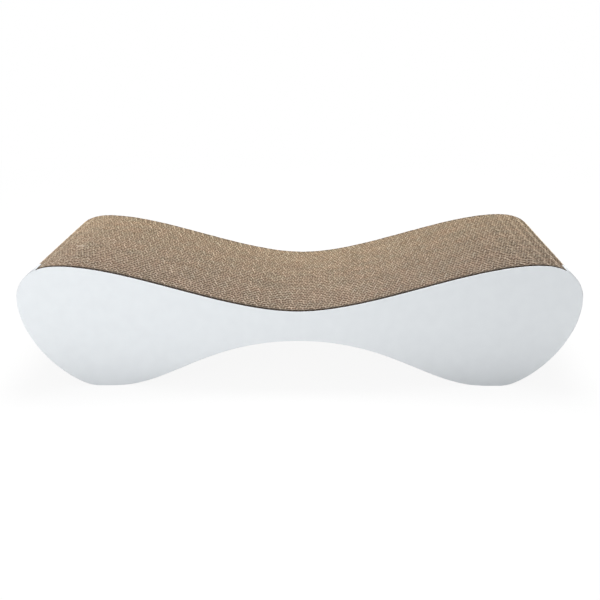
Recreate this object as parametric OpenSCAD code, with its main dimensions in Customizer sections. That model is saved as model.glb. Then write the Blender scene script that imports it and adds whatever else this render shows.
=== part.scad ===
// Cardboard cat scratcher: a stack of corrugated boards, all die cut to one wave-shaped outline,
// stood on edge and glued face to face. The flutes of every board run upright, so their cut ends
// show all over the top. A white-faced panel closes the stack at the front and at the back. The
// origin is on the floor, under the middle of the stack; +X runs along the length, +Y from the
// front panel to the back panel, and +Z up.

/* [Outline] */
// Length from end to end
body_length = 440; // [360:10:600]
// Height of the two crests above the floor
crest_h = 98; // [85:1:130]
// Height of the bottom of the hollow between the crests
seat_h = 61.5; // [50:0.5:80]
// Height of the arch under the middle
arch_h = 37.5; // [15:0.5:45]
// Height at which the ends are widest
end_h = 72; // [50:1:80]
// How far each crest lies inside its end
crest_inset = 33; // [20:1:60]
// How far the outer edge of each foot lies inside its end
foot_inset = 60; // [40:1:80]
// Width of the flat that each foot stands on
foot_flat = 12; // [4:1:30]

/* [Boards] */
// Depth of the whole stack, over both panels
body_depth = 199; // [60:1:230]
// Thickness of one corrugated board before the stack is glued up
loose_board_t = 5; // [4:0.5:8]
// Thickness of the white-faced panel at the front and at the back
panel_t = 2; // [1:0.5:4]

/* [Fluting] */
// Distance from one flute of a board to the next, twice that of the real paper
flute_pitch = 18.1; // [8:0.1:30]
// Thickness of the flat paper on each side of a board
liner_paper = 0.4; // [0.2:0.05:0.6]
// Thickness of the fluted paper between the two
flute_paper = 0.4; // [0.2:0.05:0.6]
// How the flutes are scattered: board i starts i times i of this share of the pitch along
flute_scatter_share = 0.38; // [0.05:0.01:0.95]

/* [Curves] */
// How long the hollow stays level, as a share of the way out to a crest
seat_level_share = 0.31; // [0.1:0.01:0.5]
// How long a crest stays level on its inner side, as a share of the same way
crest_level_share = 0.29; // [0.1:0.01:0.5]
// How long a crest stays level on its outer side, as a share of its inset
shoulder_level_share = 0.97; // [0.3:0.01:1]
// How long an end stays upright above its widest point, as a share of the height left
shoulder_upright_share = 0.08; // [0.05:0.01:0.6]
// How long an end stays upright below its widest point, as a share of that point's height
end_upright_share = 0.55; // [0.2:0.01:0.7]
// How long the underside stays level outside a foot, as a share of the foot's inset
foot_outer_share = 0.3; // [0.1:0.01:0.6]
// How long the underside stays level inside a foot, as a share of the way to the middle
foot_inner_share = 0.31; // [0.1:0.01:0.45]
// How long the arch stays level at its top, as a share of the same way
arch_level_share = 0.5; // [0.2:0.01:0.55]

/* [Hidden] */
// Straight steps along each curve of the outline
curve_steps = 9;
// Places of the crest and of the foot's two edges, measured from the middle
half_length = body_length / 2;
crest_x = half_length - crest_inset;
foot_outer_x = half_length - foot_inset;
foot_inner_x = foot_outer_x - foot_flat;
// Front faces of the front panel, of the first board behind it and of the back panel
front_y = -body_depth / 2;
first_board_y = front_y + panel_t;
back_panel_y = body_depth / 2 - panel_t;
// As many boards as fill the space between the panels, and the equal share of it that each takes
board_count = round((back_panel_y - first_board_y) / loose_board_t);
board_t = (back_panel_y - first_board_y) / board_count;
// Space between the two flat papers of a board, slope of the fluted paper across it, and the
// length along x that the paper's own thickness takes on that slope
wave_h = board_t - 2 * liner_paper;
flute_slope = atan(2 * wave_h / flute_pitch);
flute_wall_x = flute_paper / sin(flute_slope);
// Each open channel beside a flute: its width on the flat paper and its depth to the tip
channel_w = flute_pitch - flute_wall_x;
channel_d = wave_h * channel_w / flute_pitch;
// Channels in a row, with one to spare, and how far they are cut past the top and the bottom
channel_count = ceil(body_length / flute_pitch) + 1;
cut_over = 1;
// The channels on one flat paper lie this share of the pitch along from those on the other
opposite_share = 0.5;

function board_name(i) = str("board_", i < 10 ? "0" : "", i);

// One point of the cubic curve that leaves a towards b and reaches d from c
function curve_point(a, b, c, d, t) =
    pow(1 - t, 3) * a
    + 3 * pow(1 - t, 2) * t * b
    + 3 * (1 - t) * pow(t, 2) * c
    + pow(t, 3) * d;

// The points of that curve, without its last one, where the next curve starts
function curve(a, b, c, d) =
    [for (i = [0:curve_steps - 1]) curve_point(a, b, c, d, i / curve_steps)];

// From the middle of the hollow up to the crest
function seat_curve() = curve(
    [0, seat_h],
    [seat_level_share * crest_x, seat_h],
    [crest_x - crest_level_share * crest_x, crest_h],
    [crest_x, crest_h]
);

// From the crest round the shoulder to the widest point of the end
function shoulder_curve() = curve(
    [crest_x, crest_h],
    [crest_x + shoulder_level_share * crest_inset, crest_h],
    [half_length, end_h + shoulder_upright_share * (crest_h - end_h)],
    [half_length, end_h]
);

// From the widest point of the end in and down to the foot
function end_curve() = curve(
    [half_length, end_h],
    [half_length, end_h - end_upright_share * end_h],
    [foot_outer_x + foot_outer_share * foot_inset, 0],
    [foot_outer_x, 0]
);

// From the foot up to the middle of the arch
function arch_curve() = curve(
    [foot_inner_x, 0],
    [foot_inner_x - foot_inner_share * foot_inner_x, 0],
    [arch_level_share * foot_inner_x, arch_h],
    [0, arch_h]
);

// The right half of the outline, from the hollow round to the arch
right_half = concat(
    seat_curve(),
    shoulder_curve(),
    end_curve(),
    [[foot_outer_x, 0]],
    arch_curve(),
    [[0, arch_h]]
);

// The same half mirrored, back from the arch to the hollow, without the two points on the middle
last = len(right_half) - 1;
left_half = [for (i = [last - 1:-1:1]) [-right_half[i][0], right_half[i][1]]];

// A blank die cut to the outline, t thick, with its front face at y
module blank(y, t) {
    translate([0, y + t, 0])
        rotate([90, 0, 0])
            linear_extrude(height = t)
                polygon(concat(right_half, left_half));
}

// How far the channels of board i are shifted along x, within one pitch
function flute_shift(i, lead_share) =
    flute_pitch * ((i * i * flute_scatter_share + lead_share) % 1);

// A row of channels along a board, seen from above: each has its base on the flat paper at y
// and its tip beside the other paper, behind it (side 1) or in front of it (side -1)
module channels(shift, y, side) {
    for (i = [0:channel_count]) {
        x = -half_length - flute_pitch + shift + i * flute_pitch;
        polygon([
            [x, y],
            [x + channel_w, y],
            [x + channel_w / 2, y + side * channel_d]
        ]);
    }
}

// Corrugated board i, counted from the front: flat paper, fluted paper and flat paper
module board(i) {
    y = first_board_y + (i - 1) * board_t;
    color(i % 2 == 0 ? "tan" : "burlywood")
        difference() {
            blank(y, board_t);
            translate([0, 0, -cut_over])
                linear_extrude(height = crest_h + 2 * cut_over) {
                    channels(flute_shift(i, 0), y + liner_paper, 1);
                    channels(flute_shift(i, opposite_share), y + board_t - liner_paper, -1);
                }
        }
}

// White-faced panel glued to the front of the first board
module front_panel() {
    color("whitesmoke")
        blank(front_y, panel_t);
}

// White-faced panel glued to the back of the last board
module back_panel() {
    color("whitesmoke")
        blank(back_panel_y, panel_t);
}

front_panel();
for (i = [1:board_count]) {
    board(i);
}
back_panel();
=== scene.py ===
# %% [markdown]
# A cardboard cat scratcher, the low kind that a cat sits on and claws. Thirty-nine corrugated boards, all
# die cut to one wave-shaped outline, stand on edge and are glued face to face. The flutes run upright, so
# the claws meet cut paper. A white-faced board closes the stack at the front and at the back.
#
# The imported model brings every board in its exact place, with straight, coarse flutes. This script keeps
# the places and the outline, and gives every board what it is really made of: two flat papers and a fluted
# one between them, thin, wavy and a little frayed at the cut.

# %% Load the frame
import math
import random

import bmesh
import bpy
from mathutils import Matrix, Vector
from mathutils.geometry import interpolate_bezier


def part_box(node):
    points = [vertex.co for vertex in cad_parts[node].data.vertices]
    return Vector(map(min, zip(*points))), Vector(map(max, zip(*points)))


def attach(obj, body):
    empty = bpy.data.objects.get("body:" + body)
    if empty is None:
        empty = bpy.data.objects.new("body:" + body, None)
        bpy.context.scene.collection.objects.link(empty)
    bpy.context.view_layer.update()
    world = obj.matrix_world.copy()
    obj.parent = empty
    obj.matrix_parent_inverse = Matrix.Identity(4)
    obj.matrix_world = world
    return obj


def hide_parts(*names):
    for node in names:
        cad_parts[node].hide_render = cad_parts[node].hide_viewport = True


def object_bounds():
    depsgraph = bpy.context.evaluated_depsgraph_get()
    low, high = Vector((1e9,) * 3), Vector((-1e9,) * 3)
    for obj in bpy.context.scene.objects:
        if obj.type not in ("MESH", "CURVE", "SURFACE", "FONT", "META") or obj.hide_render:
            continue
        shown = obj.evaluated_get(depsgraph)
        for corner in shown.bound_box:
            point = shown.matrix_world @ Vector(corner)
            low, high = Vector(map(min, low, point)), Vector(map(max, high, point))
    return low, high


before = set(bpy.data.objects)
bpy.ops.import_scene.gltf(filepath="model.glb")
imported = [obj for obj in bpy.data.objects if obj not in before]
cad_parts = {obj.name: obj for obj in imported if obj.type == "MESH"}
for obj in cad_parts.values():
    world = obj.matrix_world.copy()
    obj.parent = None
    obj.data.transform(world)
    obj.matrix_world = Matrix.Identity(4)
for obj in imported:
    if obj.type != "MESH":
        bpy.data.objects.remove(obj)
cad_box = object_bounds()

MM = 0.001
body_lo, body_hi = cad_box
half_length = (body_hi.x - body_lo.x) / 2
board_names = sorted(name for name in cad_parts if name.startswith("board_"))
print(f"{len(board_names)} boards, {2 * half_length / MM:.0f} mm long")

# %% [markdown]
# Node trees read more easily when sums look like sums. A Wire holds the output of one node, and adding or
# multiplying wires adds Math nodes to the tree behind them. The alternative, one long list of nodes and
# links, says the same but hides the formula. The same helpers serve geometry trees and materials.

# %% Helpers for node trees
def feed(tree, socket, value):
    """Links a wire to the socket, or sets the socket to a plain value."""
    if isinstance(value, Wire):
        tree.links.new(value.socket, socket)
    else:
        socket.default_value = value


class Wire:
    """The output of a node, with the arithmetic of a number."""

    def __init__(self, tree, socket):
        self.tree = tree
        self.socket = socket

    def calc(self, operation, *others, first=None):
        made = self.tree.nodes.new("ShaderNodeMath")
        made.operation = operation
        for socket, value in zip(made.inputs, (self if first is None else first, *others)):
            feed(self.tree, socket, value)
        return Wire(self.tree, made.outputs[0])

    def __add__(self, other):
        return self.calc("ADD", other)

    def __sub__(self, other):
        return self.calc("SUBTRACT", other)

    def __mul__(self, other):
        return self.calc("MULTIPLY", other)

    def __truediv__(self, other):
        return self.calc("DIVIDE", other)

    def __rsub__(self, other):
        return self.calc("SUBTRACT", self, first=other)

    __radd__ = __add__
    __rmul__ = __mul__


def put(tree, kind, wires=None, out=0, **settings):
    """Adds a node, sets it up, feeds its inputs by name or number, and gives back one output."""
    made = tree.nodes.new(kind)
    for name, value in settings.items():
        setattr(made, name, value)
    for key, value in (wires or {}).items():
        feed(tree, made.inputs[key], value)
    return Wire(tree, made.outputs[out])


def split(vector):
    """The three numbers of a vector wire."""
    parts = put(vector.tree, "ShaderNodeSeparateXYZ", {0: vector}).socket.node.outputs
    return [Wire(vector.tree, part) for part in parts]


def join(tree, x, y, z):
    """A vector wire from three numbers or wires."""
    return put(tree, "ShaderNodeCombineXYZ", {0: x, 1: y, 2: z})


def spread(wire, low, high, start=0.0, end=1.0):
    """Maps the values from low to high onto those from start to end, and stops there."""
    ends = {"From Min": low, "From Max": high, "To Min": start, "To Max": end}
    return put(wire.tree, "ShaderNodeMapRange", {"Value": wire, **ends})


def between(first, second, share):
    """A number between two others: the first at a share of 0, the second at a share of 1."""
    return first * (1 - share) + second * share


def noise(tree, place, detail, tails):
    """Noise from 0 to 1, one unit of place to a lump. Its rare low and high tails are cut off."""
    raw = put(tree, "ShaderNodeTexNoise", {"Vector": place, "Scale": 1.0, "Detail": detail}, out="Fac")
    return spread(raw, tails, 1 - tails)


# %% [markdown]
# An effect that is needed more than once becomes a node group. Its sockets have names, so the place where
# it is used reads like a call: the group goes in, the inputs are given by name, the outputs come back.

# %% Helpers for node groups
def new_group(name, kind, inputs, outputs):
    """An empty node group with named sockets: the tree, its inputs as wires, and its output node."""
    tree = bpy.data.node_groups.new(name, kind)
    for in_out, sockets in (("INPUT", inputs), ("OUTPUT", outputs)):
        for socket_name, kind_of_value in sockets:
            tree.interface.new_socket(
                socket_name, in_out=in_out, socket_type="NodeSocket" + kind_of_value
            )
    entry = tree.nodes.new("NodeGroupInput")
    given = {socket.name: Wire(tree, socket) for socket in entry.outputs if socket.name}
    return tree, given, tree.nodes.new("NodeGroupOutput")


def use(tree, group, wires):
    """Places a node group in a tree and feeds it. Gives back its outputs by name."""
    made = tree.nodes.new("GeometryNodeGroup" if tree.type == "GEOMETRY" else "ShaderNodeGroup")
    made.node_tree = group
    for name, value in wires.items():
        feed(tree, made.inputs[name], value)
    return {socket.name: Wire(tree, socket) for socket in made.outputs}


# %% [markdown]
# Every board of the stack, and both face boards, are cut by the same die. Its shape is in the packed
# model: it is the rim of a face board. The points of that rim could be copied into the script, but then
# the script would no longer follow the model. So the rim is walked from corner to corner instead.

# %% The corners of the die
WELD = 0.001 * MM
SAME_PLANE = 0.01 * MM


def rim_corners(name):
    """The rim of a node's front face, as (x, z) corners in order, anticlockwise."""
    lo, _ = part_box(name)
    mesh = bmesh.new()
    mesh.from_mesh(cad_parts[name].data)
    bmesh.ops.remove_doubles(mesh, verts=mesh.verts, dist=WELD)
    front = {face for face in mesh.faces if all(abs(v.co.y - lo.y) < SAME_PLANE for v in face.verts)}
    rim = [edge for edge in mesh.edges if sum(face in front for face in edge.link_faces) == 1]
    beside = {}
    for edge in rim:
        a, b = edge.verts
        beside.setdefault(a, []).append(b)
        beside.setdefault(b, []).append(a)
    start = here = rim[0].verts[0]
    came = None
    loop = []
    while True:
        loop.append((here.co.x, here.co.z))
        came, here = here, next(v for v in beside[here] if v is not came)
        if here is start:
            break
    mesh.free()
    twice_area = sum(a[0] * b[1] - b[0] * a[1] for a, b in zip(loop, loop[1:] + loop[:1]))
    return loop if twice_area > 0 else loop[::-1]


corners = rim_corners("front_panel")
print(len(corners), "corners on the rim")

# %% [markdown]
# The rim is drawn with short straight lines, as a machine needs it. A cutting die is one bent steel rule,
# so the corners are joined again by a smooth line through all of them. Each corner gets the slope of the
# parabola through it and its two neighbours. A subdivided mesh would be smooth too, but it would shrink.

# %% The line of the die
DIE_STEPS = 6


def around(items):
    """Each item of a closed loop with the one before it and the one after it."""
    return zip(items[-1:] + items[:-1], items, items[1:] + items[:1])


def rounded(corners):
    """A smooth closed line through the corners, kept inside the box of the model."""
    knots = [Vector((x, 0, z)) for x, z in corners]
    slopes = []
    for before, here, after in around(knots):
        behind = here - before
        ahead = after - here
        whole = behind.length + ahead.length
        slopes.append((behind.normalized() * ahead.length + ahead.normalized() * behind.length) / whole)
    line = []
    for i, knot in enumerate(knots):
        j = (i + 1) % len(knots)
        third = (knots[j] - knot).length / 3
        handles = knot + slopes[i] * third, knots[j] - slopes[j] * third
        line += interpolate_bezier(knot, *handles, knots[j], DIE_STEPS + 1)[:-1]
    return [
        (min(max(p.x, body_lo.x), body_hi.x), min(max(p.z, body_lo.z), body_hi.z))
        for p in line
    ]


die_line = rounded(corners)
print(len(die_line), "points on the line of the die")

# %% [markdown]
# To cut a sheet inside a node tree, the die has to be a surface there. The line is swept from the front of
# the stack to the back, open at both ends. It is a tool and not a piece: it goes once all boards are made.

# %% The die as a surface
def add_to_scene(name, data):
    """An object for a mesh, a lamp or a camera."""
    made = bpy.data.objects.new(name, data)
    bpy.context.collection.objects.link(made)
    return made


def die_surface():
    mesh = bpy.data.meshes.new("die")
    points = [(x, y, z) for y in (body_lo.y, body_hi.y) for x, z in die_line]
    count = len(die_line)
    faces = [(i, (i + 1) % count, (i + 1) % count + count, i + count) for i in range(count)]
    mesh.from_pydata(points, [], faces)
    return add_to_scene("die", mesh)


die = die_surface()
print(len(die.data.polygons), "faces on the die")

# %% [markdown]
# A ray sent down onto the die finds the upper cut, and a ray sent up from below finds the lower cut, at any
# place along the length. A boolean cut would give the same edge, but rays leave the sheet's own grid
# intact, so its edge can still be frayed and leaned afterwards.

# %% Group: where the die cuts
# A metre above and below, well outside the stack
RAY_START = 1.0


def die_cut_group():
    tree, given, result = new_group(
        "die_cut",
        "GeometryNodeTree",
        [("Die", "Geometry"), ("X", "Float"), ("Y", "Float")],
        [("Bottom", "Float"), ("Top", "Float")],
    )
    for name, side in (("Bottom", -1), ("Top", 1)):
        ray = {
            "Target Geometry": given["Die"],
            "Source Position": join(tree, given["X"], given["Y"], side * RAY_START),
            "Ray Direction": (0, 0, -side),
            "Ray Length": 2 * RAY_START,
        }
        hit = put(tree, "GeometryNodeRaycast", ray, out="Hit Position")
        feed(tree, result.inputs[name], split(hit)[2])
    return tree


die_cut = die_cut_group()
print("die_cut:", len(die_cut.nodes), "nodes")

# %% [markdown]
# A sheet of paper has two faces and a cut edge. The sheet starts as a single layer, and extruding it along
# its normals gives the second face and the edge between them. The first layer, turned over, closes the
# solid. A Solidify modifier would do as much, but it couldn't mark the faces of the edge, and the finish
# needs them to show torn fibres there. The edge stays sharp, and the faces are shaded smooth.

# %% Group: give a layer the thickness of paper
LAYER_WELD = 0.002 * MM


def note(tree, geometry, name, value, domain):
    """Stores a number on the mesh, where the material can read it."""
    noting = {"Geometry": geometry, "Name": name, "Value": value}
    return put(tree, "GeometryNodeStoreNamedAttribute", noting, data_type="FLOAT", domain=domain)


def join_parts(tree, parts):
    """Several geometries as one."""
    together = tree.nodes.new("GeometryNodeJoinGeometry")
    for part in parts:
        tree.links.new(part.socket, together.inputs[0])
    return Wire(tree, together.outputs[0])


def paper_thickness_group():
    tree, given, result = new_group(
        "paper_thickness",
        "GeometryNodeTree",
        [("Layer", "Geometry"), ("Thickness", "Float")],
        [("Paper", "Geometry")],
    )
    growing = {"Mesh": given["Layer"], "Offset Scale": given["Thickness"], "Individual": False}
    grown = put(tree, "GeometryNodeExtrudeMesh", growing)
    side = Wire(tree, grown.socket.node.outputs["Side"])
    marked = note(tree, grown, "cut_edge", side, "FACE")
    turned = put(tree, "GeometryNodeFlipFaces", {"Mesh": given["Layer"]})
    welding = {"Geometry": join_parts(tree, (marked, turned)), "Distance": LAYER_WELD}
    closed = put(tree, "GeometryNodeMergeByDistance", welding)
    edge = put(tree, "GeometryNodeInputNamedAttribute", {"Name": "cut_edge"}, data_type="FLOAT")
    shading = {"Geometry": closed, "Shade Smooth": edge.calc("LESS_THAN", 0.5)}
    feed(tree, result.inputs["Paper"], put(tree, "GeometryNodeSetShadeSmooth", shading))
    return tree


paper_thickness = paper_thickness_group()
print("paper_thickness:", len(paper_thickness.nodes), "nodes")

# %% [markdown]
# A sheet starts as a flat grid, and its points are then moved. Columns crowd towards the two ends, where
# the outline turns steeply and needs more of them. A few rows lie near each cut, where the paper frays,
# and a sheet needs none in between. An even grid as fine as this at its ends would be far heavier.
#
# A real flute has fairly straight walls and round crests. A sine pulled a little towards a zigzag gives
# that, where a plain sine would look soft and a zigzag would look folded.

# %% Columns, rows and waves
END_CROWDING = 0.02
EDGE_ROWS = 6
GRID_WIDTH = 2.0
GRID_HEIGHT = 1.0
TAU = 2 * math.pi


def column_place(along, reach):
    """Where a column lies. Along runs from -1 to 1, and the place from one end to the other."""
    to_end = 1 - along.calc("ABSOLUTE")
    to_end = to_end * to_end * (1 + END_CROWDING) / (to_end + END_CROWDING)
    return (1 - to_end) * along.calc("SIGN") * reach


def row_depth(up):
    """How deep a row lies behind its cut: 0 on the cut, and 1 at the inner edge of the fine rows."""
    rows_in = EDGE_ROWS / 2 - 1
    return (GRID_HEIGHT / 2 - up.calc("ABSOLUTE")) * ((EDGE_ROWS - 1) / rows_in)


def flute_wave(turn, straightness):
    """A wave from -1 to 1, a sine pulled towards a zigzag."""
    wave = turn.calc("SINE")
    return wave * (1 + straightness) / (1 + wave.calc("ABSOLUTE") * straightness)


print(f"{EDGE_ROWS} rows on a sheet")

# %% [markdown]
# One tree makes both kinds of sheet. The fluted sheet is a wave that runs straight up and down, and a flat
# paper is the same sheet with a wave of no height. Close to the cut the wave leans and loses a little
# height, and the edge is frayed, as paper is under a blade. Each kind of roughness reads the noise at its
# own scale and in a stretch of its own. A Displace modifier would roughen the edge too, but with one
# texture for all of it.

# %% Group: one sheet, waved and cut
# Lumps of noise to a millimetre, and where in the noise they are read
FRAY_NOISE = (0.9, 7.0)
LEAN_NOISE = (0.12, 31.0)
CREST_NOISE = (0.2, 57.0)
CUT_NOISE_DETAIL = 1.0
CUT_NOISE_TAILS = 0.25


def cut_sheet_group():
    sizes = ("Half Length", "Middle Y", "Paper", "Pitch", "Phase", "Wave Height", "Straightness")
    cut_state = ("Edge Band", "Lean", "Fray", "Settle", "Seed")
    sockets = [("Die", "Geometry"), ("Columns", "Int")]
    sockets += [(name, "Float") for name in sizes + cut_state]
    tree, given, result = new_group("cut_sheet", "GeometryNodeTree", sockets, [("Sheet", "Geometry")])
    size = {"Size X": GRID_WIDTH, "Size Y": GRID_HEIGHT}
    count = {"Vertices X": given["Columns"], "Vertices Y": EDGE_ROWS}
    grid = put(tree, "GeometryNodeMeshGrid", {**size, **count})
    along, up, _ = split(put(tree, "GeometryNodeInputPosition"))

    x = column_place(along, given["Half Length"] - given["Paper"])
    side = up.calc("SIGN")
    row = row_depth(up)
    near_cut = 1 - row
    cut = use(tree, die_cut, {"Die": given["Die"], "X": x, "Y": given["Middle Y"]})
    tall = cut["Top"] - cut["Bottom"]

    def rough(per_mm, offset):
        """Noise from 0 to 1 along the sheet, its own on each side."""
        place = join(tree, x * (per_mm / MM), side + offset, given["Seed"])
        return noise(tree, place, CUT_NOISE_DETAIL, CUT_NOISE_TAILS)

    depth = row * given["Edge Band"].calc("MINIMUM", tall / EDGE_ROWS)
    loss = given["Settle"] + rough(*FRAY_NOISE) * given["Fray"]
    edge = (side + 1) / 2 * tall + cut["Bottom"]
    z = edge - side * (loss + depth)

    lean = (rough(*LEAN_NOISE) - 0.5) * given["Lean"] * near_cut
    turn = (x / given["Pitch"] + given["Phase"] + lean) * TAU
    height = given["Wave Height"] * (1 - rough(*CREST_NOISE) * near_cut * given["Lean"])
    y = flute_wave(turn, given["Straightness"]) * height / 2 + given["Middle Y"]

    placing = {"Geometry": grid, "Position": join(tree, x, y, z)}
    noted = note(tree, put(tree, "GeometryNodeSetPosition", placing), "depth", row, "POINT")
    half_back = {0: put(tree, "GeometryNodeInputNormal"), "Scale": given["Paper"] * -0.5}
    offset = put(tree, "ShaderNodeVectorMath", half_back, operation="SCALE")
    centred = put(tree, "GeometryNodeSetPosition", {"Geometry": noted, "Offset": offset})
    solid = use(tree, paper_thickness, {"Layer": centred, "Thickness": given["Paper"]})
    feed(tree, result.inputs["Sheet"], solid["Paper"])
    return tree


cut_sheet = cut_sheet_group()
print("cut_sheet:", len(cut_sheet.nodes), "nodes")

# %% [markdown]
# A single-wall corrugated board is a front paper, a fluted sheet and a back paper. The board's tree places
# the three sheets inside the thickness of the board, with the crests of the wave touching both flat papers.
# A hair of glue stays between one board and the next. The tree ends with real geometry and its material,
# because instances and unset materials would be lost on the way to a plain mesh.

# %% Tree: one corrugated board
# Each sheet of a board reads the noise a little further on
FRONT_PAPER_SEED = 0.0
FLUTE_SEED = 0.3
BACK_PAPER_SEED = 0.6


def fluted_board_tree():
    sizes = ("Half Length", "Front Y", "Board Thickness", "Glue Hair", "Flat Paper", "Flute Paper")
    shared = ("Half Length", "Pitch", "Phase", "Straightness", "Edge Band", "Lean", "Fray", "Settle")
    sockets = [("Die", "Object"), ("Flute Columns", "Int"), ("Flat Columns", "Int")]
    sockets += [(name, "Float") for name in (*sizes, *shared[1:], "Tone", "Seed")]
    sockets += [("Material", "Material")]
    tree, given, result = new_group("fluted_board", "GeometryNodeTree", sockets, [("Board", "Geometry")])
    surface = put(tree, "GeometryNodeObjectInfo", {"Object": given["Die"]}, out="Geometry")

    def sheet(middle, paper, columns, wave, seed):
        wires = {name: given[name] for name in shared}
        wires.update({"Die": surface, "Middle Y": middle, "Paper": paper, "Columns": columns})
        wires.update({"Wave Height": wave, "Seed": given["Seed"] + seed})
        return use(tree, cut_sheet, wires)["Sheet"]

    front = given["Front Y"]
    thick = given["Board Thickness"]
    flat_paper = given["Flat Paper"]
    flat_columns = given["Flat Columns"]
    flat_in = given["Glue Hair"] + flat_paper / 2
    wave = thick - (given["Glue Hair"] + flat_paper) * 2 - given["Flute Paper"]
    flutes = sheet(front + thick / 2, given["Flute Paper"], given["Flute Columns"], wave, FLUTE_SEED)
    flutes = note(tree, flutes, "fluting", 1.0, "FACE")
    front_paper = sheet(front + flat_in, flat_paper, flat_columns, 0.0, FRONT_PAPER_SEED)
    back_paper = sheet(front + thick - flat_in, flat_paper, flat_columns, 0.0, BACK_PAPER_SEED)

    board = join_parts(tree, (back_paper, flutes, front_paper))
    for name, socket_name in (("board_tone", "Tone"), ("pitch", "Pitch"), ("phase", "Phase")):
        board = note(tree, board, name, given[socket_name], "FACE")
    real = put(tree, "GeometryNodeRealizeInstances", {"Geometry": board})
    dressed = put(tree, "GeometryNodeSetMaterial", {"Geometry": real, "Material": given["Material"]})
    feed(tree, result.inputs["Board"], dressed)
    return tree


fluted_board = fluted_board_tree()
print("fluted_board:", len(fluted_board.nodes), "nodes")

# %% [markdown]
# Paper is a felt of fibres that lie mostly along the run of the paper machine, which is along the length
# of these boards. Up close that shows as short, soft streaks, darker and lighter, and as a fine tooth. The
# brown papers, the white coat and the grey core all need it, each at its own size, so it is a shader group.
# Noise stretched along one axis gives the streaks, and the same noise unstretched gives the flecks.

# %% Shader group: paper fibre
STREAK_DETAIL = 3.0
FLECK_DETAIL = 2.0
PAPER_NOISE_TAILS = 0.3
FLECKS_IN_SHADE = 0.35
FLECKS_IN_RELIEF = 0.6


def paper_fibre_group():
    tree, given, result = new_group(
        "paper_fibre",
        "ShaderNodeTree",
        [("Place", "Vector"), ("Fibre Width", "Float"), ("Fibre Length", "Float")],
        [("Shade", "Float"), ("Relief", "Float")],
    )
    x, y, z = split(given["Place"])
    width = given["Fibre Width"]
    lying = join(tree, x / given["Fibre Length"], y / width, z / width)
    even = join(tree, x / width, y / width, z / width)
    streaks = noise(tree, lying, STREAK_DETAIL, PAPER_NOISE_TAILS)
    flecks = noise(tree, even, FLECK_DETAIL, PAPER_NOISE_TAILS)
    feed(tree, result.inputs["Shade"], between(streaks, flecks, FLECKS_IN_SHADE))
    feed(tree, result.inputs["Relief"], between(streaks, flecks, FLECKS_IN_RELIEF))
    return tree


paper_fibre = paper_fibre_group()
print("paper_fibre:", len(paper_fibre.nodes), "nodes")

# %% [markdown]
# Recycled paper also changes slowly from place to place, a little lighter here, a little redder there. One
# shader group gives two slow, independent clouds for that: one to shade with and one to tint with. They
# are the same noise, read far apart.

# %% Shader group: slow clouds
CLOUD_DETAIL = 1.0
CLOUD_OFFSETS = {"Shade": 0.0, "Tint": 40.0}


def slow_clouds_group():
    tree, given, result = new_group(
        "slow_clouds",
        "ShaderNodeTree",
        [("Place", "Vector"), ("Cloud", "Float")],
        [(name, "Float") for name in CLOUD_OFFSETS],
    )
    x, y, z = split(given["Place"])
    cloud = given["Cloud"]
    for name, offset in CLOUD_OFFSETS.items():
        place = join(tree, x / cloud + offset, y / cloud, z / cloud)
        feed(tree, result.inputs[name], noise(tree, place, CLOUD_DETAIL, PAPER_NOISE_TAILS))
    return tree


slow_clouds = slow_clouds_group()
print("slow_clouds:", len(slow_clouds.nodes), "nodes")

# %% [markdown]
# A material is a tree too. With these helpers a colour is a wire like any other, so mixing, tinting and
# shading it take one short line each. The colours could also be painted on a picture and wrapped round the
# piece, but a wrapped picture stretches at every cut, and this way each colour follows the shape.

# %% Helpers for materials
# A Mix node has sockets for numbers, vectors and colours side by side, and these are the ones for colours
FIRST_COLOUR = 6
SECOND_COLOUR = 7
MIXED_COLOUR = 2


def new_material(name):
    """A material with its tree, its main shader and the place on the piece."""
    made = bpy.data.materials.new(name)
    made.use_nodes = True
    tree = made.node_tree
    return made, tree, tree.nodes["Principled BSDF"], put(tree, "ShaderNodeTexCoord", out="Object")


def attribute(tree, name):
    """A number that the mesh carries."""
    return put(tree, "ShaderNodeAttribute", attribute_name=name, out="Fac")


def paint(tree, colour):
    """A plain colour as a wire, so that it can be mixed and shaded like any other."""
    made = put(tree, "ShaderNodeRGB")
    made.socket.default_value = (*colour, 1)
    return made


def blend(share, first, second, **settings):
    """A colour between two others: the first at a share of 0, the second at a share of 1."""
    wires = {0: share, FIRST_COLOUR: first, SECOND_COLOUR: second}
    return put(first.tree, "ShaderNodeMix", wires, out=MIXED_COLOUR, data_type="RGBA", **settings)


def tinted(colour, tint):
    """A colour multiplied by another."""
    return blend(1.0, colour, tint, blend_type="MULTIPLY")


def shaded(colour, factor):
    """A colour made darker or lighter by a factor."""
    return tinted(colour, put(colour.tree, "ShaderNodeCombineColor", {0: factor, 1: factor, 2: factor}))


def dress(shader, colour, roughness, relief, relief_depth, specular=0.5):
    """Feeds the main shader, with the relief as a fine tooth of the stated depth."""
    tree = colour.tree
    tooth = put(tree, "ShaderNodeBump", {"Height": relief, "Distance": relief_depth})
    feed(tree, shader.inputs["Base Color"], colour)
    feed(tree, shader.inputs["Roughness"], roughness)
    feed(tree, shader.inputs["Specular IOR Level"], specular)
    feed(tree, shader.inputs["Normal"], tooth)
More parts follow.
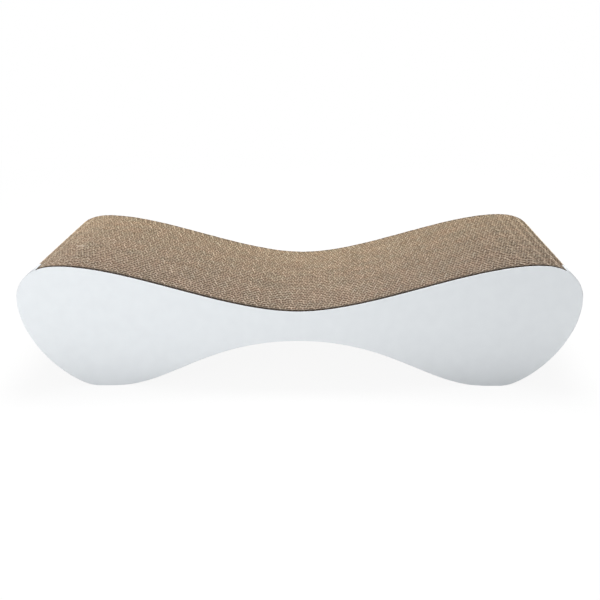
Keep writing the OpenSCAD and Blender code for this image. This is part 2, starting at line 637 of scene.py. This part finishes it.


# %% [markdown]
# Raw kraft paper is matt and warm brown. Where the die went through it, the fibres are torn and pale, so
# the cut edge is paler than the face. The walls are painted darker away from the cut: painted shade for the
# shade down in the cells. Walls and cut edges get more painted shade beside each crest, and one flank a
# hair more than the other, which evens out the lamp from one side. A pattern that only knows its place
# would drift off the flutes, so each mesh carries its own pitch and phase, and the material works out the
# wave again.

# %% Kraft paper: cut edges, and walls with painted shade
KRAFT_DARK = (0.56, 0.41, 0.282)
KRAFT_LIGHT = (0.70, 0.53, 0.375)
# Painted shade: the colour the walls take on down in the cells
KRAFT_PAINTED_SHADE = (0.21, 0.147, 0.098)
TORN_FIBRE = (0.80, 0.66, 0.51)
FLANK_TURN = math.radians(30)
PAINTED_SHADE_DEPTHS = (0.1, 0.8)
WALL_PAINTED_SHADE = {"all over": 0.38, "beside a crest": 0.5, "one flank": 0.05}
TORN_PALENESS_AND_SHADE = {"all over": 1.09, "beside a crest": -0.31, "one flank": -0.03}
FLAT_EDGE_SHADE = 0.8


def wave_marks(tree, x):
    """How near a point is to a crest and to the place beside one, from 0 to 1, and to one flank."""
    turn = (x / attribute(tree, "pitch") + attribute(tree, "phase")) * TAU
    at_crest = turn.calc("SINE") * turn.calc("SINE")
    # This product is a quarter at most, so four times it reaches 1
    beside_crest = at_crest * (1 - at_crest) * 4
    one_flank = (turn - FLANK_TURN).calc("COSINE")
    return at_crest, beside_crest, one_flank


def cut_kraft(tree, fibre, beside_crest, one_flank):
    """Kraft paper: walls with painted shade down from the cut, and torn fibres at the cut."""

    def along_wave(shares):
        by_place = beside_crest * shares["beside a crest"] + one_flank * shares["one flank"]
        return by_place + shares["all over"]

    skin = blend(fibre["Shade"], paint(tree, KRAFT_DARK), paint(tree, KRAFT_LIGHT))
    # Painted shade down the walls, most beside each crest and a hair more on one flank
    painted_shade = spread(attribute(tree, "depth"), *PAINTED_SHADE_DEPTHS) * along_wave(WALL_PAINTED_SHADE)
    walls = blend(painted_shade, skin, paint(tree, KRAFT_PAINTED_SHADE))
    # Torn fibres are paler, with painted shade beside each crest and on one flank
    torn = shaded(paint(tree, TORN_FIBRE), along_wave(TORN_PALENESS_AND_SHADE))
    torn = shaded(torn, between(FLAT_EDGE_SHADE, 1.0, attribute(tree, "fluting")))
    return blend(attribute(tree, "cut_edge"), walls, torn)


print("kraft from", KRAFT_PAINTED_SHADE, "to", TORN_FIBRE)

# %% [markdown]
# The face boards are glued on last, with more glue than between the flutes. The first board is darkened in
# a line along the white face, partly by that glue and partly as painted shade in the joint. The walls of
# that board's cells, and those near the crests of the last one, get painted shade down from the cut. It all
# fades near the two ends of the stack. A dark strip as a piece of its own would lie on the paper and not in
# it, so the line is painted in the material.

# %% Kraft paper: glue and painted shade
# Near black, partly glue and partly painted shade
GLUE_AND_SHADE = (0.085, 0.066, 0.052)
DARK_LINE_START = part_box("front_panel")[1].y
DARK_LINE_FULL = 1.2 * MM
DARK_LINE_END = 1.5 * MM
FIRST_BOARD_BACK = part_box(board_names[0])[1].y
LAST_BOARD_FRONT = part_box(board_names[-1])[0].y
LAST_BOARD_CRESTS = (0.35, 0.65)
LAST_BOARD_SHADE = 0.4
CELL_SHADE_DEPTHS = (0.3, 0.8)
CELL_SHADE_SHARE = 0.85
END_FADE = (0.94, 0.98)
END_GLUE_AND_SHADE = 0.3


def glue_and_shade_share(tree, x, y, at_crest):
    """How far glue and painted shade have darkened the paper, from 0 to 1."""
    # A dark line along the white face, partly glue and partly painted shade in the joint
    line = spread(y, DARK_LINE_START + DARK_LINE_FULL, DARK_LINE_START + DARK_LINE_END, 1.0, 0.0)
    in_first = y.calc("LESS_THAN", FIRST_BOARD_BACK)
    near_crests = spread(at_crest, *LAST_BOARD_CRESTS, 0.0, LAST_BOARD_SHADE)
    in_last = y.calc("GREATER_THAN", LAST_BOARD_FRONT) * near_crests
    # Painted shade down the walls of the first board's cells, and near the crests of the last
    cell_shade = spread(attribute(tree, "depth"), *CELL_SHADE_DEPTHS, 0.0, CELL_SHADE_SHARE)
    stain_and_shade = line.calc("MAXIMUM", in_first.calc("MAXIMUM", in_last) * cell_shade)
    fade_from, fade_to = (half_length * share for share in END_FADE)
    return stain_and_shade * spread(x.calc("ABSOLUTE"), fade_from, fade_to, 1.0, END_GLUE_AND_SHADE)


print(f"glue line {DARK_LINE_END / MM:.1f} mm wide")

# %% [markdown]
# One soft patch near the left crest has been rubbed pale, more at the cut than down in the cells. Its edge
# follows the fibres. A mask painted by hand could place it, but a distance from one point is enough.

# %% Kraft paper: the rubbed patch
RUBBED_FIBRE = (0.82, 0.72, 0.60)
RUBBED_X = -184 * MM
RUBBED_Y = -28 * MM
RUBBED_REACH = 5.5 * MM
RUBBED_EDGE = (0.5, 1.2)
RUBBED_EDGE_FIBRES = 0.5
RUBBED_SHARE = 0.95
RUBBED_LOSS_BELOW = 0.4


def rubbed_share(tree, x, y, fibre):
    """How far the paper is rubbed pale, from 0 to 1."""
    off_x = (x - RUBBED_X) / RUBBED_REACH
    off_y = (y - RUBBED_Y) / RUBBED_REACH
    away = (off_x * off_x + off_y * off_y).calc("SQRT")
    rubbed = spread(away + fibre["Shade"] * RUBBED_EDGE_FIBRES, *RUBBED_EDGE, RUBBED_SHARE, 0.0)
    return rubbed * (1 - attribute(tree, "depth") * RUBBED_LOSS_BELOW)


print(f"rubbed patch {2 * RUBBED_REACH / MM:.0f} mm across")

# %% [markdown]
# Each board comes from another roll, so each has its own tone, and slow clouds vary it further. Towards the
# rear the boards are painted a shade lighter and more golden, and towards the right end a shade darker:
# painted light and shade for how the light falls across the top. One material for each board could say so
# too, but a tone carried by the mesh keeps it to one material.

# %% Kraft paper: tones of the stack, and painted light and shade
REDDER = (1.03, 0.99, 0.965)
GREENER = (0.975, 1.01, 1.0)
FRONT_PAINTED_SHADE = (0.958, 0.968, 1.019)
REAR_PAINTED_LIGHT = (1.087, 1.083, 1.028)
CLOUD_TONE = 0.16
RIGHT_FADE = (0.15, 0.7)
RIGHT_PAINTED_SHADE = 0.88


def stack_tones(tree, x, y, clouds, paper):
    """The same paper, with the tone of its board, and painted light and shade by its place in the stack."""
    tint = blend(clouds["Tint"], paint(tree, REDDER), paint(tree, GREENER))
    # Painted light towards the rear, painted shade towards the front
    painted_light = blend(spread(y, body_lo.y, body_hi.y), paint(tree, FRONT_PAINTED_SHADE), paint(tree, REAR_PAINTED_LIGHT))
    tone = attribute(tree, "board_tone") + (clouds["Shade"] - 0.5) * CLOUD_TONE
    # Painted shade towards the right end
    fade_from, fade_to = (half_length * share for share in RIGHT_FADE)
    to_right = spread(x, fade_from, fade_to, 1.0, RIGHT_PAINTED_SHADE)
    paper = tinted(tinted(paper, tint), painted_light)
    return shaded(shaded(paper, tone), to_right)


print("right end at", RIGHT_PAINTED_SHADE, "of the tone")

# %% [markdown]
# Now the kraft paper is put together, from the inside out: the paper itself with its painted shade, the
# glue and painted shade along the face boards, the patch that was rubbed afterwards, and the tone over all
# of it, with painted light and shade across the top. Kraft has hardly any sheen, so its highlights are weak
# and its surface is rough.

# %% Kraft paper
KRAFT_ROUGHNESS = (0.82, 0.94)


def kraft_paper_material():
    made, tree, shader, place = new_material("kraft_paper")
    fibre = use(tree, paper_fibre, {"Place": place, "Fibre Width": 0.35 * MM, "Fibre Length": 2.2 * MM})
    clouds = use(tree, slow_clouds, {"Place": place, "Cloud": 14 * MM})
    x, y, _ = split(place)
    at_crest, beside_crest, one_flank = wave_marks(tree, x)
    paper = cut_kraft(tree, fibre, beside_crest, one_flank)
    # Glue and painted shade along the face boards
    paper = blend(glue_and_shade_share(tree, x, y, at_crest), paper, paint(tree, GLUE_AND_SHADE))
    paper = blend(rubbed_share(tree, x, y, fibre), paper, paint(tree, RUBBED_FIBRE))
    dress(
        shader,
        colour=stack_tones(tree, x, y, clouds, paper),
        roughness=between(*KRAFT_ROUGHNESS, fibre["Relief"]),
        relief=fibre["Relief"],
        relief_depth=0.06 * MM,
        specular=0.25,
    )
    return made


kraft_paper = kraft_paper_material()
print("kraft_paper:", len(kraft_paper.node_tree.nodes), "nodes")

# %% [markdown]
# The face boards carry a thin white coat of clay on paper. It is smoother than kraft, with a satin sheen,
# and never quite even: a faint mottle, and the flutes of the first board pressing through as a washboard
# that only shows at a glancing light. The washboard is far too shallow to be worth a mesh, so it is bump.
# The cover paper at the shoulders is the same coat on thinner, greyer paper.

# %% White coat
COAT_WHITE = (0.775, 0.808, 0.832)
COAT_MOTTLED = (0.745, 0.777, 0.803)
COVER_WHITE = (0.64, 0.665, 0.685)
COVER_MOTTLED = (0.60, 0.62, 0.64)
FLUTE_PITCH = 9.05 * MM
COAT_CLOUDS_IN_MOTTLE = 0.6
WASHBOARD_IN_RELIEF = 0.8
COAT_ROUGHNESS = 0.42
COAT_ROUGHER_FIBRES = 0.1
COAT_ROUGHER_CLOUDS = 0.06


def white_coat_material(name, mottled, white):
    made, tree, shader, place = new_material(name)
    fibre = use(tree, paper_fibre, {"Place": place, "Fibre Width": 0.5 * MM, "Fibre Length": 1.4 * MM})
    clouds = use(tree, slow_clouds, {"Place": place, "Cloud": 9 * MM})
    mottle = between(fibre["Shade"], clouds["Shade"], COAT_CLOUDS_IN_MOTTLE)
    rougher = fibre["Relief"] * COAT_ROUGHER_FIBRES + clouds["Tint"] * COAT_ROUGHER_CLOUDS
    x = split(place)[0]
    washboard = (x * (TAU / FLUTE_PITCH)).calc("SINE") * 0.5 + 0.5
    dress(
        shader,
        colour=blend(mottle, paint(tree, mottled), paint(tree, white)),
        roughness=rougher + COAT_ROUGHNESS,
        relief=between(fibre["Relief"], washboard, WASHBOARD_IN_RELIEF),
        relief_depth=0.05 * MM,
    )
    return made


white_coat = white_coat_material("white_coat", COAT_MOTTLED, COAT_WHITE)
cover_paper = white_coat_material("cover_paper", COVER_MOTTLED, COVER_WHITE)
print("white_coat:", len(white_coat.node_tree.nodes), "nodes")

# %% [markdown]
# Behind the coat, the face boards are grey-brown recycled board, seen only at the cut. It is rougher than
# kraft and soaked with glue, and its colour is set near black, partly as painted shade for the joint, so it
# draws the dark line between the white face and the flutes. A plain dark grey would do from afar. Up close,
# the fibres and clouds of the other papers make it paper too.

# %% Board core
# Near black: partly the core's own colour and glue, partly painted shade in the joint
CORE_DARK = (0.03, 0.025, 0.022)
CORE_LIGHT = (0.06, 0.05, 0.043)
CORE_CLOUDS_IN_MOTTLE = 0.5
CORE_ROUGHNESS = (0.85, 0.95)


def board_core_material():
    made, tree, shader, place = new_material("board_core")
    fibre = use(tree, paper_fibre, {"Place": place, "Fibre Width": 0.3 * MM, "Fibre Length": 1.5 * MM})
    clouds = use(tree, slow_clouds, {"Place": place, "Cloud": 5 * MM})
    mottle = between(fibre["Shade"], clouds["Shade"], CORE_CLOUDS_IN_MOTTLE)
    dress(
        shader,
        colour=blend(mottle, paint(tree, CORE_DARK), paint(tree, CORE_LIGHT)),
        roughness=between(*CORE_ROUGHNESS, fibre["Relief"]),
        relief=fibre["Relief"],
        relief_depth=0.1 * MM,
        specular=0.2,
    )
    return made


board_core = board_core_material()
print("board_core:", len(board_core.node_tree.nodes), "nodes")

# %% [markdown]
# The flutes of one board rarely meet those of the next. Seen from above, they step along by much the same
# amount for two boards and then step back for two, because the blanks were stacked as they came off the
# cutter. That gives the top its zigzag columns, where a free shift for every board would give a plain
# jumble. The walk is made from the right end, and the pitch of each board differs by a hair, so the pattern
# loosens towards the left, as it does on a real one.

# %% Where the flutes of each board start
STEPS_ONE_WAY = 2
STEP_SHARES = (0.11, 0.15)
STACK_SEED = 7


def flute_walk(count, dice):
    """The share of a pitch by which each board's flutes are shifted, at the right end."""
    shifts = []
    shift = dice.random()
    heading = 1
    while len(shifts) < count:
        for _ in range(STEPS_ONE_WAY):
            shifts.append(shift)
            shift += heading * dice.uniform(*STEP_SHARES)
        heading = -heading
    return shifts[:count]


dice = random.Random(STACK_SEED)
shifts = flute_walk(len(board_names), dice)
print("first shifts:", [round(shift % 1, 2) for shift in shifts[:8]])

# %% [markdown]
# The boards themselves. Every board is the same, and every board is a little different: its pitch, its tone
# and the depth to which the die cut it. Each becomes its own plain mesh and stands for its own node.
# Copies of one board would be lighter, but their flutes would line up like wallpaper.

# %% The thirty-nine corrugated boards
COLUMNS_PER_FLUTE = 12
FLAT_COLUMNS_PER_FLUTE = 3
PITCH_CHANGE = (0.998, 1.002)
SETTLE_MM = (0.03, 0.1)
BOARD_TONES = (0.98, 1.02)
flutes_per_board = 2 * half_length / FLUTE_PITCH


def set_inputs(modifier, tree, values):
    """A modifier knows its inputs by identifier, so each name is looked up in the tree first."""
    for item in tree.interface.items_tree:
        if item.in_out == "INPUT" and item.name in values:
            modifier[item.identifier] = values[item.name]


def corrugated_board(name, number, shift):
    """One board as a plain mesh, in the place of its node."""
    lo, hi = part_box(name)
    carrier = add_to_scene("carrier", bpy.data.meshes.new("carrier"))
    modifier = carrier.modifiers.new("flutes", "NODES")
    modifier.node_group = fluted_board
    pitch = FLUTE_PITCH * dice.uniform(*PITCH_CHANGE)
    settings = {
        "Die": die,
        "Half Length": half_length,
        "Front Y": lo.y,
        "Board Thickness": hi.y - lo.y,
        "Glue Hair": 0.02 * MM,
        "Flat Paper": 0.28 * MM,
        "Flute Paper": 0.26 * MM,
        "Pitch": pitch,
        "Phase": shift - half_length / pitch,
        "Straightness": 0.6,
        "Flute Columns": round(flutes_per_board * COLUMNS_PER_FLUTE),
        "Flat Columns": round(flutes_per_board * FLAT_COLUMNS_PER_FLUTE),
        "Edge Band": 1.8 * MM,
        "Lean": 0.05,
        "Fray": 0.25 * MM,
        "Settle": dice.uniform(*SETTLE_MM) * MM,
        "Tone": dice.uniform(*BOARD_TONES),
        "Seed": float(number),
        "Material": kraft_paper,
    }
    set_inputs(modifier, fluted_board, settings)
    ready = carrier.evaluated_get(bpy.context.evaluated_depsgraph_get())
    mesh = bpy.data.meshes.new_from_object(ready)
    mesh.name = f"corrugated_board_{number:02d}"
    bpy.data.objects.remove(carrier)
    piece = add_to_scene(mesh.name, mesh)
    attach(piece, "root")
    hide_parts(name)
    return piece


boards = []
for number, (name, shift) in enumerate(zip(board_names, shifts), 1):
    boards.append(corrugated_board(name, number, shift))
bpy.data.objects.remove(die)
triangles = sum(len(face.vertices) - 2 for board in boards for face in board.data.polygons)
print(f"{len(boards)} boards, {triangles} triangles")

# %% [markdown]
# A face board is cut by the same die, so its outline is the same line. The white coat is rolled over a
# little by the blade, and behind it the softer core lies back by a hair. That groove and the core's
# near-black colour, partly painted shade, draw the dark line along the top of the front. Both could be
# painted on a plain slab, but a rolled edge catches the light only if it is there. So the board is a row of
# rings, each a little inside the line of the die, joined by bands of faces. The board at the back was cut a
# little smaller all round, so the last flutes stand over it.

# %% Face boards
COAT_DEPTH = 0.6 * MM
COAT_ROLL = 0.5 * MM
ROLL_STEPS = 4
CORE_GROOVE = 0.05 * MM
BACK_BOARD_SMALLER = 0.9 * MM


def inset(line, distance):
    """The line moved inwards. It runs anticlockwise, so inwards is to its left."""
    moved = []
    for before, here, after in around(line):
        along = Vector((after[0] - before[0], after[1] - before[1])).normalized()
        moved.append((here[0] - along.y * distance, here[1] + along.x * distance))
    return moved


def band(mesh, ring, following):
    """Four-sided faces from one closed ring of points to the next, in order."""
    fours = zip(ring, ring[1:] + ring[:1], following[1:] + following[:1], following)
    return [mesh.faces.new(four) for four in fours]


def closed_piece(name, mesh, materials):
    """A piece from finished faces, all turned outwards."""
    bmesh.ops.recalc_face_normals(mesh, faces=mesh.faces)
    data = bpy.data.meshes.new(name)
    mesh.to_mesh(data)
    mesh.free()
    for material in materials:
        data.materials.append(material)
    return add_to_scene(name, data)


def edge_profile(thickness):
    """How far each ring lies inside the die's line and behind the face: coat, groove and core."""
    profile = []
    for step in range(ROLL_STEPS + 1):
        angle = step / ROLL_STEPS * math.pi / 2
        profile.append((COAT_ROLL * (1 - math.sin(angle)), COAT_ROLL * (1 - math.cos(angle))))
    groove_back = COAT_DEPTH + CORE_GROOVE / 2
    return profile + [(0.0, COAT_DEPTH), (CORE_GROOVE, groove_back), (CORE_GROOVE, thickness)]


def face_board(piece_name, node_name, face_side, smaller):
    """A face board: a coated face with a rolled edge, and the bare core behind it."""
    lo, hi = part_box(node_name)
    outer = lo.y if face_side < 0 else hi.y
    mesh = bmesh.new()
    rings = []
    for inward, back in edge_profile(hi.y - lo.y):
        y = outer - face_side * back
        rings.append([mesh.verts.new((x, y, z)) for x, z in inset(die_line, smaller + inward)])
    mesh.faces.new(rings[0]).material_index = 0
    mesh.faces.new(rings[-1]).material_index = 1
    for number, (ring, following) in enumerate(zip(rings, rings[1:])):
        for face in band(mesh, ring, following):
            face.smooth = number < ROLL_STEPS
            face.material_index = 0 if number <= ROLL_STEPS else 1
    piece = closed_piece(piece_name, mesh, (white_coat, board_core))
    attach(piece, "root")
    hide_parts(node_name)
    return piece


front_face = face_board("front_face_board", "front_panel", -1, 0.0)
back_face = face_board("back_face_board", "back_panel", 1, BACK_BOARD_SMALLER)
print("face boards:", len(front_face.data.polygons), "and", len(back_face.data.polygons), "faces")

# %% [markdown]
# At each end a short lap of the white cover paper is folded back from the front over the shoulder of the
# stack. From the front it shows only as a white sliver where the shoulder turns away. Its upper corner is
# cut at a slant, so that it stays clear of the scratching surface. A single layer would be pierced by the
# frayed edges of the boards, so it is a closed strip that lies half in and half out of the die's line.

# %% Laps of the cover paper
LAP_PROUD = 0.16 * MM
LAP_TOP_DEPTH = 21 * MM
LAP_DEPTH = 48 * MM
LAP_SLANT = 8 * MM
LAP_END_Z = 44 * MM
LEFT_LAP_X = 203.5 * MM
RIGHT_LAP_X = 206.5 * MM


def cover_lap(piece_name, end_side, start_x):
    """A strip of cover paper on one end, closed all round."""
    front = body_lo.y + COAT_DEPTH
    over = [(min(max(x, body_lo.x), body_hi.x), z) for x, z in inset(die_line, -LAP_PROUD)]
    pairs = [
        (outer, under)
        for outer, under in zip(over, inset(die_line, LAP_PROUD))
        if outer[0] * end_side > start_x and outer[1] > LAP_END_Z
    ]
    top_z = max(outer[1] for outer, _ in pairs)
    mesh = bmesh.new()
    rings = []
    for (x, z), (under_x, under_z) in pairs:
        opening = min((top_z - z) / LAP_SLANT, 1)
        back = body_lo.y + LAP_TOP_DEPTH + (LAP_DEPTH - LAP_TOP_DEPTH) * opening
        places = (x, front, z), (x, back, z), (under_x, back, under_z), (under_x, front, under_z)
        rings.append([mesh.verts.new(place) for place in places])
    for ring, following in zip(rings, rings[1:]):
        outside, *_ = band(mesh, ring, following)
        outside.smooth = True
    mesh.faces.new(rings[0])
    mesh.faces.new(rings[-1])
    piece = closed_piece(piece_name, mesh, [cover_paper])
    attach(piece, "root")
    return piece


left_lap = cover_lap("left_cover_lap", -1, LEFT_LAP_X)
right_lap = cover_lap("right_cover_lap", 1, RIGHT_LAP_X)
print("laps:", len(left_lap.data.polygons), "and", len(right_lap.data.polygons), "faces")

# %% [markdown]
# The camera stands where the photograph was taken from: a little right of the middle, above the front,
# with a lens of 60 mm. Its turn is built from three directions, forward, right and up, which is easier to
# check against a photograph than three angles in a row.

# %% Camera
CAMERA_LENS = 60
CAMERA_SENSOR = 36
CAMERA_RIGHT = 21.1 * MM
CAMERA_BEFORE = 743.5 * MM
CAMERA_ABOVE = 293.1 * MM
CAMERA_YAW = math.radians(-1.491)
CAMERA_PITCH = math.radians(16.610)
CAMERA_ROLL = math.radians(-0.468)

camera_data = bpy.data.cameras.new("camera")
camera_data.sensor_width = CAMERA_SENSOR
camera_data.lens = CAMERA_LENS
camera = add_to_scene("camera", camera_data)
bpy.context.scene.camera = camera
flat = math.cos(CAMERA_PITCH)
forward = Vector((math.sin(CAMERA_YAW) * flat, math.cos(CAMERA_YAW) * flat, -math.sin(CAMERA_PITCH)))
level = Vector((math.cos(CAMERA_YAW), -math.sin(CAMERA_YAW), 0))
upward = level.cross(forward)
right = math.cos(CAMERA_ROLL) * level + math.sin(CAMERA_ROLL) * upward
above = -math.sin(CAMERA_ROLL) * level + math.cos(CAMERA_ROLL) * upward
turn = Matrix((right, above, -forward)).transposed().to_4x4()
stand = Matrix.Translation((CAMERA_RIGHT, body_lo.y - CAMERA_BEFORE, CAMERA_ABOVE))
camera.matrix_world = stand @ turn
print("camera at", [round(value / MM) for value in camera.matrix_world.translation])

# %% [markdown]
# Two soft lamps, as in a plain studio: a large one over the back, which looks down into the flutes, and a
# small one at the front left, from which the white face falls off towards the right. A lamp like the sun
# would give the cells hard black shadows. White board must stay below full white, so that its surface can
# still be seen.

# %% Lamps
LAMP_TARGET = Vector((0, 0, 50 * MM))


def soft_lamp(name, place, size, watts):
    """A round lamp that looks at the middle of the stack, with its place and size in metres."""
    data = bpy.data.lights.new(name, "AREA")
    data.shape = "DISK"
    data.size = size
    data.energy = watts
    lamp = add_to_scene(name, data)
    lamp.location = place
    lamp.rotation_euler = (LAMP_TARGET - Vector(place)).to_track_quat("-Z", "Y").to_euler()
    return lamp


top_lamp = soft_lamp("top_lamp", place=(0.05, 0.45, 1.3), size=0.9, watts=24)
front_lamp = soft_lamp("front_lamp", place=(-0.42, -0.85, 0.3), size=0.6, watts=3.0)
print("lamps of", top_lamp.data.energy, "and", front_lamp.data.energy, "watts")

# %% [markdown]
# The room round the scratcher is white to look at, but it lights the object with an even, weaker glow.
# A room as bright as it looks would wash out every shadow, so the glow and the look are set apart by the
# kind of ray that asks.

# %% The room
ROOM_GLOW = 0.3


def seen_directly(tree):
    """1 for what the camera sees, also in glossy and clear surfaces, and 0 for the light itself."""
    rays = put(tree, "ShaderNodeLightPath").socket.node.outputs
    views = [Wire(tree, rays[name]) for name in ("Is Camera Ray", "Is Glossy Ray", "Is Transmission Ray")]
    return views[0].calc("MAXIMUM", views[1]).calc("MAXIMUM", views[2])


room = bpy.data.worlds.new("room")
bpy.context.scene.world = room
room.use_nodes = True
sky = room.node_tree.nodes["Background"]
feed(room.node_tree, sky.inputs["Color"], (1, 1, 1, 1))
feed(room.node_tree, sky.inputs["Strength"], between(ROOM_GLOW, 1.0, seen_directly(room.node_tree)))
print("room glow", ROOM_GLOW)

# %% [markdown]
# The floor is a plain pale sheet that runs out to white. Near the scratcher it is partly real, matt floor,
# so that the feet keep a soft shadow under them, and further out it becomes as white as the room.

# %% Floor
FLOOR_REACH = 6.0
FLOOR_NEAR = 0.3
FLOOR_FAR = 1.2
FLOOR_GREY = 0.9
NEAR_GLOW = 0.92


def floor_paint_material():
    made = bpy.data.materials.new("floor_paint")
    made.use_nodes = True
    tree = made.node_tree
    tree.nodes.clear()
    x, y, _ = split(put(tree, "ShaderNodeTexCoord", out="Object"))
    glow_share = spread((x * x + y * y).calc("SQRT"), FLOOR_NEAR, FLOOR_FAR, NEAR_GLOW, 1.0)
    matt = put(tree, "ShaderNodeBsdfDiffuse", {"Color": (FLOOR_GREY, FLOOR_GREY, FLOOR_GREY, 1)})
    glow = put(tree, "ShaderNodeEmission", {"Color": (1, 1, 1, 1), "Strength": 1.0})
    mixed = put(tree, "ShaderNodeMixShader", {0: seen_directly(tree) * glow_share, 1: matt, 2: glow})
    surface = tree.nodes.new("ShaderNodeOutputMaterial")
    feed(tree, surface.inputs["Surface"], mixed)
    return made


floor_mesh = bpy.data.meshes.new("floor")
ends = (-FLOOR_REACH, FLOOR_REACH)
floor_mesh.from_pydata([(x, y, 0) for y in ends for x in ends], [], [(0, 1, 3, 2)])
floor_mesh.materials.append(floor_paint_material())
floor = add_to_scene("floor", floor_mesh)
print("floor", 2 * FLOOR_REACH, "m wide")

# %% [markdown]
# The view shows colours about as they are written. Blender's other view transforms soften the highlights,
# as film does, but then the cardboard and the white coat couldn't be compared with real ones.

# %% View
view = bpy.context.scene.view_settings
view.view_transform = "Standard"
print("view transform:", view.view_transform)
